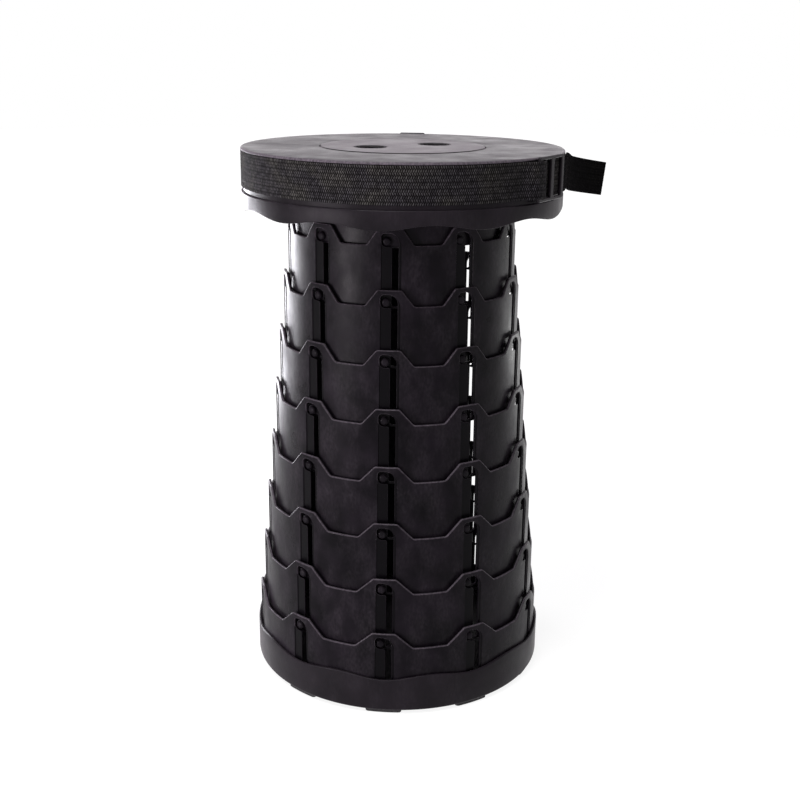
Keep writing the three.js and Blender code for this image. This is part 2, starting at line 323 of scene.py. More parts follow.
def satinPlastic(name, finish):
    # Moulded plastic: clouds and scuffs in colour and gloss, upright flow lines, a fine grain, paler edges that are a
    # painted highlight with some wear, and painted shade in recesses
    f = finish
    material, nodes, links, shader = newMaterial(name)
    place = nodes.new("ShaderNodeTexCoord").outputs["Object"]
    clouds = noiseNode(nodes, links, place, f["clouds"], 5)
    flow = noiseNode(nodes, links, place, f["flow"], 4, f["stretch"])
    scuffs = noiseNode(nodes, links, place, f["scuffs"], 8, f["stretch"])
    smears = noiseNode(nodes, links, place, f["smears"], 6, (1, 1, 0.5))
    wearAndPaintedLight = nodes.new("ShaderNodeAttribute")
    wearAndPaintedLight.attribute_name = "wearAndPaintedLight"                    # 1 on edges painted paler as a highlight, partly wear; -1 where shade is painted into a recess or gap
    highlightedEdges = remap(nodes, links, wearAndPaintedLight.outputs["Fac"], 0, 1, 0, 1)
    outsidePaintedShade = remap(nodes, links, wearAndPaintedLight.outputs["Fac"], -1, 0, 0, 1)
    patchy = remap(nodes, links, clouds, 0.35, 0.68, 0.15, 1)
    # Clouds vary the colour at random; in a recess the colour is held at the dark end, painted shade, and scuffs are
    # left out
    base = mixColours(nodes, links, product(nodes, links, patchy, outsidePaintedShade, 1), f["dark"], f["light"])
    speckled = product(nodes, links, remap(nodes, links, smears, 0.38, 0.68, 0, 1),
                       remap(nodes, links, scuffs, 0.35, 0.7, 0.3, 1), 1)
    scuffed = product(nodes, links, speckled, outsidePaintedShade, f["scuffed"])
    wearAndLightMarks = mixedWith(nodes, links, scuffed, base, f["dustAndHighlight"])
    # The rounded edges take the pale colour: a painted highlight, partly wear
    edge = product(nodes, links, remap(nodes, links, scuffs, 0.3, 0.7, 0.35, 1), highlightedEdges, f["edge"])
    links.new(mixedWith(nodes, links, edge, wearAndLightMarks, f["dustAndHighlight"]), shader.inputs["Base Color"])
    gloss = product(nodes, links, remap(nodes, links, clouds, 0.3, 0.7, f["rough"][0], f["rough"][1]),
                    remap(nodes, links, flow, 0.3, 0.7, 0.88, 1.12), 1)
    links.new(gloss, shader.inputs["Roughness"])
    normal = bumpNode(nodes, links, flow, 0.3, f["flowDepth"])
    normal = bumpNode(nodes, links, clouds, 0.3, f["cloudDepth"], normal)
    fine = noiseNode(nodes, links, place, f["grain"], 3)
    links.new(bumpNode(nodes, links, fine, 0.4, f["grainDepth"], normal), shader.inputs["Normal"])
    shader.inputs["Specular IOR Level"].default_value = f["shine"]
    shader.inputs["Sheen Weight"].default_value = f["sheen"]
    shader.inputs["Sheen Roughness"].default_value = 0.35
    shader.inputs["Sheen Tint"].default_value = (1.0, 0.86, 0.98, 1)
    return material


def webbingCloth():
    # Woven polyester: rows of short ribs that lean left and right in turn, each row half a rib on from the last.
    # The colour follows the rib height: painted shade in the grooves and a painted highlight on the tops. Every rib has
    # its own brightness, every second row is paler, and the tail is darkened with painted shade
    s = strap
    material, nodes, links, shader = newMaterial("strapWebbing")
    uv = nodes.new("ShaderNodeUVMap")
    uv.uv_map = "strapMap"
    split = nodes.new("ShaderNodeSeparateXYZ")
    links.new(uv.outputs["UV"], split.inputs[0])

    def maths(operation, a, b=None):
        node = nodes.new("ShaderNodeMath")
        node.operation = operation
        for i, value in enumerate((a, b)):
            if isinstance(value, (int, float)):
                node.inputs[i].default_value = value
            elif value is not None:
                links.new(value, node.inputs[i])
        return node.outputs[0]

    rowPlace = maths("MULTIPLY", split.outputs["Y"], 1 / s["rowPitch"])
    row, inRow = maths("FLOOR", rowPlace), maths("FRACT", rowPlace)
    side = maths("SUBTRACT", maths("MULTIPLY", maths("PINGPONG", row, 1.0), 2.0), 1.0)
    lean = maths("MULTIPLY", maths("MULTIPLY", maths("SUBTRACT", inRow, 0.5), side), s["lean"])
    place = maths("ADD", maths("MULTIPLY", split.outputs["X"], 1 / s["ribPitch"]),
                  maths("ADD", lean, maths("MULTIPLY", row, 0.5)))
    rib = maths("POWER", maths("ABSOLUTE", maths("SINE", maths("MULTIPLY", place, np.pi))), 1.6)
    crown = maths("POWER", maths("MULTIPLY", maths("MULTIPLY", inRow, maths("SUBTRACT", 1.0, inRow)), 4.0), 0.3)
    twist = maths("SINE", maths("MULTIPLY", maths("ADD", maths("MULTIPLY", inRow, 3.0), place), turn))
    cell = nodes.new("ShaderNodeCombineXYZ")
    links.new(maths("FLOOR", place), cell.inputs[0])
    links.new(row, cell.inputs[1])
    chance = nodes.new("ShaderNodeTexWhiteNoise")
    chance.noise_dimensions = "2D"
    links.new(cell.outputs[0], chance.inputs["Vector"])
    yarn = maths("ADD", maths("MULTIPLY", chance.outputs["Value"], 0.6), 0.4)
    pick = maths("ADD", maths("MULTIPLY", maths("COSINE", maths("MULTIPLY", rowPlace, np.pi)), 0.2), 0.86)
    height = maths("MULTIPLY", rib, crown)
    ridge = maths("ADD", height, maths("MULTIPLY", twist, 0.12))
    objectPlace = nodes.new("ShaderNodeTexCoord").outputs["Object"]
    patches = noiseNode(nodes, links, objectPlace, 55, 4)
    fuzz = noiseNode(nodes, links, objectPlace, 2400, 2)
    # The colour follows the rib and row height, painted shade in the grooves and a painted highlight on the tops, times
    # random yarn tone, paler picks and patches
    ribShadeAndTone = maths("MULTIPLY", maths("MULTIPLY", maths("MULTIPLY", maths("POWER", ridge, 1.5), yarn), pick),
                 remap(nodes, links, patches, 0.3, 0.7, 0.75, 1.2))
    shadedTail = nodes.new("ShaderNodeAttribute")
    shadedTail.attribute_name = "shadedTail"                  # 1 on the tail, which is darkened with painted shade
    ribShadeAndTone = maths("MULTIPLY", ribShadeAndTone, remap(nodes, links, shadedTail.outputs["Fac"], 0, 1, 1, s["tailShadeTone"]))
    tint = mixColours(nodes, links, remap(nodes, links, patches, 0.4, 0.62, 0, 1), s["bluish"], s["olive"])
    blend = nodes.new("ShaderNodeMix")
    blend.data_type = "RGBA"
    links.new(ribShadeAndTone, blend.inputs["Factor"])
    blend.inputs[6].default_value = (*s["deep"], 1)
    links.new(tint, blend.inputs[7])
    links.new(blend.outputs[2], shader.inputs["Base Color"])
    rough = maths("MAXIMUM", remap(nodes, links, fuzz, 0.3, 0.7, 0.6, 0.85), shadedTail.outputs["Fac"])
    links.new(rough, shader.inputs["Roughness"])
    normal = bumpNode(nodes, links, ridge, 0.8, 0.0003)
    links.new(bumpNode(nodes, links, fuzz, 0.5, 0.0001, normal), shader.inputs["Normal"])
    shader.inputs["Specular IOR Level"].default_value = 0.02
    return material


def footRubber():
    material, nodes, links, shader = newMaterial("footRubber")
    place = nodes.new("ShaderNodeTexCoord").outputs["Object"]
    dust = noiseNode(nodes, links, place, 90, 5)
    links.new(mixColours(nodes, links, dust, (0.012, 0.012, 0.013), (0.026, 0.025, 0.026)), shader.inputs["Base Color"])
    links.new(remap(nodes, links, dust, 0.3, 0.7, 0.7, 0.9), shader.inputs["Roughness"])
    links.new(bumpNode(nodes, links, noiseNode(nodes, links, place, 1500, 2), 0.4, 0.0002), shader.inputs["Normal"])
    return material


strap = {
    "width": 27, "thickness": 1.5, "top": 424.25, "ribPitch": 1.65, "rowPitch": 2.25, "lean": 0.4,
    "ribDepth": 0.16, "rowDepth": 0.15, "step": 0.5, "tailHug": 33, "tailFree": 92, "tailBend": 30,
    "tailFlare": 42, "tailDroop": 9, "tailRoot": 20.3, "tailRadius": 126.05, "edgeRound": 0.45, "ridges": 36,
    "roughCount": 6000, "freeCount": 600, "buckleAngle": 63, "slideAngle": 181.5,
    # (distance along the buckle's or the slide's plane, radius of the webbing's middle)
    "underBuckle": [(13, 124.0), (24, 124.0), (34, 124.25)],
    "throughSlide": [(-17, 124.25), (-10, 124.25), (-7, 124.5), (-2, 128.3), (2, 128.3), (7, 124.5),
                     (10, 124.25), (17, 124.25)],
    "throughBuckle": [(-36, 124.25), (-21, 130.15), (-18, 130.3), (-15, 129.8), (-2.5, 124.15), (4, 124.15),
                      (12, 125.5), (16, 125.55), (20.3, 125.95), (24, 126.05)],
    "tailShadeTone": 0.12, "deep": (0.0012, 0.001, 0.0012), "olive": (0.118, 0.113, 0.106),
    "bluish": (0.11, 0.104, 0.115),
}
# The pale colour serves the scuffs and the painted highlight on the rounded edges; edge is how much of it those edges
# take
shellFinish = {
    "dark": (0.0062, 0.0048, 0.0066), "light": (0.0136, 0.0106, 0.0142), "dustAndHighlight": (0.14, 0.12, 0.142),
    "scuffed": 0.07, "edge": 1.0, "rough": (0.31, 0.47), "shine": 0.085, "sheen": 0.06,
    "clouds": 34, "flow": 60, "scuffs": 700, "smears": 60, "stretch": (1, 1, 0.3), "grain": 1500,
    "flowDepth": 0.0003, "cloudDepth": 0.0008, "grainDepth": 0.00012,
}
ringFinish = dict(shellFinish, dark=(0.0021, 0.0016, 0.0025), light=(0.0092, 0.0068, 0.0102), rough=(0.25, 0.46),
                  shine=0.06, sheen=0.02, scuffed=0.12, edge=0.6, clouds=42, flow=90, scuffs=600, smears=75,
                  stretch=(1, 1, 0.5), grain=1900)
insertFinish = dict(shellFinish, dark=(0.012, 0.011, 0.0125), light=(0.02, 0.0185, 0.02), rough=(0.4, 0.5),
                    shine=0.24, sheen=0.4)
buckleFinish = dict(shellFinish, rough=(0.34, 0.44), shine=0.1, sheen=0.0, scuffed=0.06, edge=0.15)

print("materials")
shellPlastic = satinPlastic("shellPlastic", shellFinish)
ringPlastic = satinPlastic("ringPlastic", ringFinish)
insertPlastic = satinPlastic("insertPlastic", insertFinish)
bucklePlastic = satinPlastic("bucklePlastic", buckleFinish)
strapCloth = webbingCloth()
rubber = footRubber()


def windowLine(height):
    # The pocket and the slot as one loop, clockwise, so that the wall is on its left
    r = ring
    far, top = r["slotNear"] + r["slotWidth"], height - r["crownBand"]
    shelf = height - r["shelfDrop"]
    cradle = r["pocketEdge"] - pin["offset"]
    small, sill, sweep = r["cornerSmall"], r["footBar"], r["pocketSweep"]
    corner = softened([(r["slotNear"], sill + small), (r["slotNear"], shelf), (-pin["offset"], shelf)],
                      [0, small, 0], False, 2)
    parts = [
        bow((r["slotNear"] + small, sill + small), small, 270, 180, 4)[:-1],
        corner[:-1],
        bow((-pin["offset"], shelf + cradle), cradle, 270, 180, 7),
        straight((-r["pocketEdge"], shelf + cradle), (-r["pocketEdge"], top - r["pocketCorner"]))[1:],
        bow((-r["pocketEdge"] + r["pocketCorner"], top - r["pocketCorner"]), r["pocketCorner"], 180, 90, 6),
        straight((-r["pocketEdge"] + r["pocketCorner"], top), (far - sweep, top))[1:],
        bow((far - sweep, top - sweep), sweep, 90, 0, 12),
        straight((far, top - sweep), (far, sill + small), 2)[1:],
        bow((far - small, sill + small), small, 0, -90, 4),
        straight((far - small, sill), (r["slotNear"] + small, sill))[1:],
    ]
    return np.concatenate(parts)


def crownLine(radius, height):
    # The upper edge from right to left: valley, slope, tab, slope, valley
    r = ring
    half = turn / r["sectors"] / 2 * radius
    flat = half - math.radians(r["valleyHalf"]) * radius
    low = height - r["tabRise"]
    tab = radius * math.asin(r["tabHalf"] / radius)
    corners = [(half, low), (flat, low), (tab, height), (-tab, height), (-flat, low), (-half, low)]
    soft = r["cornerRound"]
    return softened(corners, [0, soft, soft, soft, soft, 0], False)


def footLine(radius):
    # The lower edge, with a point wherever the recess starts or ends
    r = ring
    half = turn / r["sectors"] / 2 * radius
    far = r["slotNear"] + r["slotWidth"] + r["strip"]
    marks = [-half, -r["pocketEdge"] - r["slope"], -r["pocketEdge"], -r["pocketEdge"] + r["recessEdge"],
             far - r["recessEdge"], far, half]
    parts = [straight((a, 0), (b, 0)) for a, b in zip(marks, marks[1:])]
    return np.concatenate(parts + [np.array([[half, 0]])])


def pinPoints():
    # A domed knob turned about its own axis: straight up the side, over a wide rim, to a small shallow dish
    p = pin
    a = np.linspace(0, np.pi / 2, 7)
    low = p["reach"] - p["round"] * 0.75
    rim = np.stack([p["flat"] + (p["radius"] - p["flat"]) * np.cos(a), low + (p["reach"] - low) * np.sin(a)], 1)
    profile = np.concatenate([[(0, -p["root"]), (p["radius"], -p["root"])], rim, [(0, p["reach"] - p["dish"])]])
    around = np.linspace(0, turn, p["sides"], endpoint=False)
    across = profile[:, 0][:, None] * np.cos(around) - p["offset"]
    up = profile[:, 0][:, None] * np.sin(around) + p["aboveFoot"]
    depth = np.broadcast_to(-profile[:, 1][:, None], across.shape)
    points = np.stack([across, up, depth], -1).reshape(-1, 3)
    return points, gridFaces(len(profile), p["sides"], True).tolist()


def bent(flat, radius, foot, columns):
    # (across, up, depth) wrapped round the axis: angle = column + across / radius, radius less the depth
    angle = columns[:, None] + flat[..., 0] / radius
    return polar(radius - flat[..., 2], angle, foot + flat[..., 1]).reshape(-1, 3)


def ringPiece(name, number, body):
    r = ring
    radius = r["largest"] - (r["count"] - number) * r["step"]
    foot = r["lowestFoot"] + (r["count"] - number) * r["pitch"]
    core = number == 0
    height = r["coreHeight"] if core else r["height"]
    half = turn / r["sectors"] / 2 * radius
    across = np.linspace(-half, half, r["spotsAcross"])
    up = np.linspace(0, height, r["spotsUp"])
    spots = np.stack(np.meshgrid(across, up), -1).reshape(-1, 2)
    far = r["slotNear"] + r["slotWidth"] + r["strip"]
    lines = np.array([-r["pocketEdge"] - r["slope"], -r["pocketEdge"], -r["pocketEdge"] + r["recessEdge"],
                      far - r["recessEdge"], far])
    sweep, top = r["pocketSweep"] + r["strip"], height - r["crownBand"]
    rise = np.linspace(r["fineStart"], top - sweep, r["finePoints"])
    fine = np.stack(np.meshgrid(lines, rise), -1).reshape(-1, 2)
    swept = [bow((far - sweep, top - sweep), size, 0, 70, 14)[1:] for size in (sweep - r["recessEdge"], sweep)]
    fine = np.concatenate([fine] + swept)
    spots = spots[np.abs(spots[:, 0] - lines[1]) > 1.2]
    spots = spots[np.abs(spots[:, 0] - far) > 0.9]
    bottom = footLine(radius)
    if core:
        marks = np.linspace(half, -half, r["corePoints"])
        crown = np.stack([marks, np.full(len(marks), height)], 1)
        loops = [(bottom, False), (crown, False, r["crownEdge"])]
        sides = up[1:-1]
    else:
        crown = crownLine(radius, height)
        loops = [(bottom, False), (crown, False, r["crownEdge"]), (windowLine(height), True)]
        sides = up[(up > r["sideGap"]) & (up < height - r["tabRise"] - r["sideGap"])]
    flat, faces, wearAndPaintedLight = flatWall(loops, r["wall"], r["edge"], r["hold"], spots, sides, None if core else fine)
    setBack = np.zeros(len(flat))
    if not core:
        flat, setBack = hollowed(flat, height)
    columns = np.arange(r["sectors"]) * turn / r["sectors"]
    copies, faces = repeated(flat, faces, r["sectors"])
    points = bent(copies, radius, foot, columns)
    if number < r["count"]:
        knob, knobFaces = pinPoints()
        knobs, knobFaces = repeated(knob, knobFaces, r["sectors"])
        faces += [[v + len(points) for v in f] for f in knobFaces]
        points = np.concatenate([points, bent(knobs, radius, foot, columns)])
    # The recess is painted darker, painted shade, and left unscuffed; the front edges are painted paler, a painted
    # highlight with some wear
    solidPiece(name + "_wall", points, faces, ringPlastic, body, [name],
               np.tile(wearAndPaintedLight - setBack, r["sectors"]))


def eased(value, low, width):
    return np.clip((value - low) / width, 0, 1)


def hollowed(flat, height):
    # Beside each slot the wall is thinned from behind to a skin. Its face is set back round the pocket and
    # the slot: from the pocket's left edge to a line that runs up beside the slot and sweeps over the pocket.
    # Gives the new points and how far each one lies in the recess, which the material darkens with painted shade.
    r = ring
    x, z, depth = flat[:, 0], flat[:, 1], flat[:, 2]
    shelf, slope, far = height - r["shelfDrop"], r["slope"], r["slotNear"] + r["slotWidth"]
    behind = eased(x, -r["pocketEdge"] - slope, slope) * (1 - eased(x, r["slotNear"] + 0.1, slope))
    behind = behind * eased(z, r["footBar"] - slope, slope) * (1 - eased(z, shelf + 2, slope))
    thick = r["wall"] - behind * (r["wall"] - r["skin"])
    share = depth / r["wall"]
    sweep, top = r["pocketSweep"] + r["strip"], height - r["crownBand"]
    centre = far + r["strip"] - sweep
    reach = np.hypot(np.maximum(x - centre, 0), np.maximum(z - (top - sweep), 0))
    right = 1 - eased(reach, sweep - r["recessEdge"], r["recessEdge"])
    left = eased(x, -r["pocketEdge"], r["recessEdge"])
    left = left * (z < top - r["pocketCorner"]) + (z >= top - r["pocketCorner"]) * (x > centre)
    front = left * right
    return np.stack([x, z, share * thick + r["recess"] * front * (1 - share)], 1), front * (share < 0.6)


print("rings")
ringPiece("seat_ring", 0, "seat")
for number in range(1, ring["count"]):
    ringPiece(f"ring_{number}", number, f"ring_{number}_body")
ringPiece(f"ring_{ring['count']}", ring["count"], "base")


def turnedPoints(profile, columns, closed, lift=None):
    # The profile carried round the axis; lift(angle, height) is added to the height
    angle = np.linspace(0, turn, columns, endpoint=False)[None]
    radius, height = profile[:, 0][:, None] + 0 * angle, profile[:, 1][:, None] + 0 * angle
    if lift is not None:
        height = height + lift(angle, height)
    points = polar(radius, angle + 0 * radius, height)
    faces = gridFaces(len(profile), columns, True).tolist()
    if closed:
        last = (len(profile) - 1) * columns
        n = np.arange(columns)
        m = (n + 1) % columns
        faces += np.stack([last + n, last + m, m, n], 1).tolist()
    return points.reshape(-1, 3), faces


def seatCover():
    s = seat
    under = s["top"] - s["plate"]
    ledge = s["top"] - s["ledgeDrop"]
    shoulder = s["grooveFloor"]
    skirtInner, grooveInner = s["radius"] - s["wall"], s["grooveRadius"] - s["wall"]
    corners = [
        (s["boreRadius"], s["top"], s["boreRound"]),
        (s["boreRadius"], ledge, s["ledgeRound"]),
        (s["boreRadius"] - s["ledgeReach"], ledge, s["ledgeRound"]),
        (s["boreRadius"] - s["ledgeReach"], ledge - s["ledgeThickness"], s["ledgeRound"]),
        (s["boreRadius"] + s["ledgeWall"], ledge - s["ledgeThickness"], s["ledgeRound"]),
        (s["boreRadius"] + s["ledgeWall"], under, s["ledgeRound"]),
        (grooveInner, under, s["underRound"]),
        (grooveInner, shoulder - s["wall"], s["grooveRound"]),
        (skirtInner, shoulder - s["wall"], s["grooveRound"]),
        (skirtInner, s["skirtFoot"], s["footRound"]),
        (s["radius"], s["skirtFoot"], s["footRound"]),
        (s["radius"], shoulder, s["shoulderRound"]),
        (s["grooveRadius"], shoulder, s["grooveRound"]),
        (s["grooveRadius"], s["top"] - s["lip"], s["grooveRound"]),
        (s["radius"], s["top"] - s["lip"], s["lipFootRound"]),
        (s["radius"], s["top"], s["lipRound"]),
    ]
    profile = softened([c[:2] for c in corners], [c[2] for c in corners], True, 12, 4)
    depth = shoulder - s["skirtFoot"]

    def wave(angle, height):
        # The skirt's foot waves; the shift fades out up to the shoulder
        fade = np.clip((shoulder - height) / depth, 0, 1)
        return -s["skirtWave"] * fade * np.cos(ring["sectors"] * (angle - math.radians(s["skirtTurn"])))

    points, faces = turnedPoints(profile, s["columns"], True, wave)
    across, up = profile[:, 0], profile[:, 1]
    # A band on the lip is painted paler, a painted highlight, and a band down the bore is painted darker, painted shade
    edges = (up < s["top"] - s["paintedBandStart"]) & (up > s["top"] - s["lip"] - s["paintedBandPast"])
    paintedLipHighlight = edges & (across > s["radius"] - s["lipHighlightWidth"])
    paintedBoreShade = edges & (across < s["boreRadius"] + s["boreShadeWidth"])
    solidPiece("seat_cover_shell", points, faces, shellPlastic, "seat", ["seat_cover"],
               np.repeat(1.0 * paintedLipHighlight - 1.0 * paintedBoreShade, s["columns"]))


insert = {"radius": 63.6, "thickness": 3, "raised": 0.45, "edge": 0.35, "hold": 0.5, "rimPoints": 180,
          "holeRadius": 12.7, "holeEdge": 1.2, "holeSpacing": 57, "holeTurn": 35, "holePoints": 120,
          "scallops": 20, "scallopDepth": 0.35, "spotReach": 60, "spotStep": 6.0}


def seatInsert():
    # A disc with two scalloped finger holes. Its rounded edges round the rim and the holes are painted darker: painted
    # shade
    i = insert
    rimAngles = np.linspace(0, turn, i["rimPoints"], endpoint=False)
    rim = i["radius"] * np.stack([np.cos(rimAngles), np.sin(rimAngles)], 1)
    holes = []
    holeAngles = np.linspace(0, -turn, i["holePoints"], endpoint=False)
    for side in (-1, 1):
        around = i["holeRadius"] - i["scallopDepth"] * (0.5 + 0.5 * np.cos(i["scallops"] * holeAngles))
        centre = side * i["holeSpacing"] / 2 * np.array([math.cos(math.radians(i["holeTurn"])),
                                                         math.sin(math.radians(i["holeTurn"]))])
        hole = centre + around[:, None] * np.stack([np.cos(holeAngles), np.sin(holeAngles)], 1)
        holes.append((hole, True, i["holeEdge"]))
    steps = np.arange(-i["spotReach"], i["spotReach"] + 1, i["spotStep"])
    spots = np.stack(np.meshgrid(steps, steps), -1).reshape(-1, 2)
    flat, faces, wearAndPaintedLight = flatWall([(rim, True)] + holes, i["thickness"], i["edge"], i["hold"], spots)
    points = np.stack([flat[:, 0], flat[:, 1], seat["top"] + i["raised"] - flat[:, 2]], 1)
    # The rounded edges get painted shade
    solidPiece("seat_insert_disc", points, faces, insertPlastic, "seat", ["seat_insert"],
               -1.0 * wearAndPaintedLight)


base = {"outer": 119.9, "wall": 2.2, "rim": 31.2, "wave": 1.85, "under": 2.7, "plate": 3.3, "corner": 2.2,
        "landHeight": 3.25, "landInner": 110, "rimRound": 0.8, "landRim": 0.4, "landRound": 0.5, "columns": 240,
        "footWidth": 29, "footDepth": 13, "footSetback": 2.2, "footHeight": 2.7, "footCorner": 2.5,
        "footEdge": 0.5, "footHold": 0.4, "spotReach": 12, "spotStep": 3.0}


def baseCup():
    b = base
    inner = b["outer"] - b["wall"]
    floorTop = b["under"] + b["plate"]
    low = floorTop + b["landHeight"]
    corners = [
        (0, b["under"], 0), (b["outer"], b["under"], b["corner"]), (b["outer"], b["rim"], b["rimRound"]),
        (inner, b["rim"], b["rimRound"]), (inner, low, b["landRim"]),
        (b["landInner"], low, b["landRound"]), (b["landInner"], floorTop, b["landRound"]), (0, floorTop, 0),
    ]
    profile = softened([c[:2] for c in corners], [c[2] for c in corners], False, 12, 4)

    def wave(angle, height):
        # The rim waves; the shift fades out down to the land
        fade = np.clip((height - low) / (b["rim"] - low), 0, 1)
        return -b["wave"] * fade * np.cos(ring["sectors"] * angle)

    points, faces = turnedPoints(profile, b["columns"], False, wave)
    solidPiece("base_cup_shell", points, faces, shellPlastic, "base", ["base_cup"])


def footPads():
    b = base
    outer = b["outer"] - b["footSetback"]
    half, depth = b["footWidth"] / 2, b["footDepth"]
    outline = softened([(-half, -depth), (half, -depth), (half, 0), (-half, 0)], [b["footCorner"]] * 4, True)
    across = np.arange(-b["spotReach"], b["spotReach"] + 1, b["spotStep"])
    inward = np.arange(-b["spotReach"], 0, b["spotStep"])
    spots = np.stack(np.meshgrid(across, inward), -1).reshape(-1, 2)
    flat, faces = flatWall([(outline, True)], b["footHeight"], b["footEdge"], b["footHold"], spots)[:2]
    for i in range(ring["sectors"]):
        angle = turn / ring["sectors"] * i + flat[:, 0] / outer
        points = polar(outer + flat[:, 1], angle, b["footHeight"] - flat[:, 2])
        solidPiece(f"foot_pad_{i + 1:02d}", points, faces, rubber, "base", [f"foot_{i + 1:02d}"])


print("seat and base")
seatCover()
seatInsert()
baseCup()
footPads()


buckle = {"length": 40, "height": 32.4, "thickness": 2.6, "endBar": 4, "middleBar": 5, "barPlace": 1.2,
          "sideBar": 2.4, "inner": 125.3, "corner": 2, "windowCorner": 1, "edge": 0.6, "hold": 0.25}
slide = dict(buckle, length=22, thickness=2.2, endBar=3, middleBar=3, barPlace=0, corner=1.5, edge=0.5)


def strapFrame(name, part, angle):
    # A flat frame with two windows, laid square to the radius at its angle
    half, tall = part["length"] / 2, part["height"] / 2
    reach = tall - part["sideBar"]
    outline = softened([(-half, -tall), (half, -tall), (half, tall), (-half, tall)], [part["corner"]] * 4, True)
    loops = [(outline, True)]
    bars = [(-half + part["endBar"], part["barPlace"] - part["middleBar"] / 2),
            (part["barPlace"] + part["middleBar"] / 2, half - part["endBar"])]
    for near, far in bars:
        window = softened([(near, -reach), (near, reach), (far, reach), (far, -reach)],
                          [part["windowCorner"]] * 4, True)
        loops.append((window, True))
    spots = np.zeros((1, 2))
    flat, faces, wearAndPaintedLight = flatWall(loops, part["thickness"], part["edge"], part["hold"], spots)
    outward = np.array([math.sin(angle), -math.cos(angle), 0])
    along = np.array([math.cos(angle), math.sin(angle), 0])
    centre = strap["top"] - strap["width"] / 2
    points = (flat[:, [0]] * along + (part["inner"] + part["thickness"] - flat[:, [2]]) * outward
              + (flat[:, [1]] + centre) * np.array([0, 0, 1]))
    # The front edges are painted paler: a painted highlight with some wear
    solidPiece(name + "_frame", points, faces, bucklePlastic, "seat", [name], wearAndPaintedLight)


def strapRoute(count):
    # Middle line of the webbing round the seat: angle and radius eased between listed places,
    # then the free tail on an arc that swings outwards and droops. Places are along the buckle's plane.
    s = strap
    buckleAt, slideAt = math.radians(s["buckleAngle"]), math.radians(s["slideAngle"])

    def placed(centre, stretch):
        return [(centre + math.atan(along / seat["radius"]), radius) for along, radius in stretch]

    root = buckleAt + math.atan(s["tailRoot"] / seat["radius"]) + turn
    last = root + s["tailHug"] / s["tailRadius"]
    again = [(at + turn, radius) for at, radius in placed(buckleAt, s["throughBuckle"])]
    table = np.array(placed(buckleAt, s["underBuckle"]) + placed(slideAt, s["throughSlide"]) + again
                     + [(last, s["tailRadius"])])
    angle = np.linspace(table[0, 0], last, s["roughCount"])
    step = np.clip(np.searchsorted(table[:, 0], angle, side="right") - 1, 0, len(table) - 2)
    share = (angle - table[step, 0]) / (table[step + 1, 0] - table[step, 0])
    ease = share * share * (3 - 2 * share)
    radius = table[step, 1] + (table[step + 1, 1] - table[step, 1]) * ease
    middle = polar(radius, angle, s["top"] + 0 * angle)
    heading, droop = angle, 0 * angle
    free = np.linspace(0, s["tailFree"], s["freeCount"])[1:]
    swing = math.radians(s["tailFlare"]) * free / s["tailFree"]
    lean = math.radians(s["tailDroop"]) * np.minimum(free / s["tailBend"], 1)
    chord = free * np.cos(lean) * np.sin(swing / 2) / (swing / 2)
    tail = polar(s["tailRadius"], last + 0 * free, s["top"] - free * np.sin(lean))
    tail = tail + polar(1, last - swing / 2 + np.pi / 2, 0 * free) * chord[:, None]
    middle = np.concatenate([middle, tail])
    heading = np.concatenate([heading, last - swing])
    droop = np.concatenate([droop, lean])
    length = np.concatenate([[0], np.cumsum(np.linalg.norm(np.diff(middle, axis=0), axis=1))])
    at = np.linspace(0, length[-1], count)
    middle = np.stack([np.interp(at, length, middle[:, k]) for k in range(3)], 1)
    heading, droop = np.interp(at, length, heading), np.interp(at, length, droop)
    ahead = np.gradient(middle, axis=0)
    ahead /= np.linalg.norm(ahead, axis=1)[:, None]
    down = polar(np.sin(droop), heading - np.pi / 2, -np.cos(droop))
    down -= ahead * (down * ahead).sum(1)[:, None]
    down /= np.linalg.norm(down, axis=1)[:, None]
    return at, middle, down, np.cross(down, ahead)


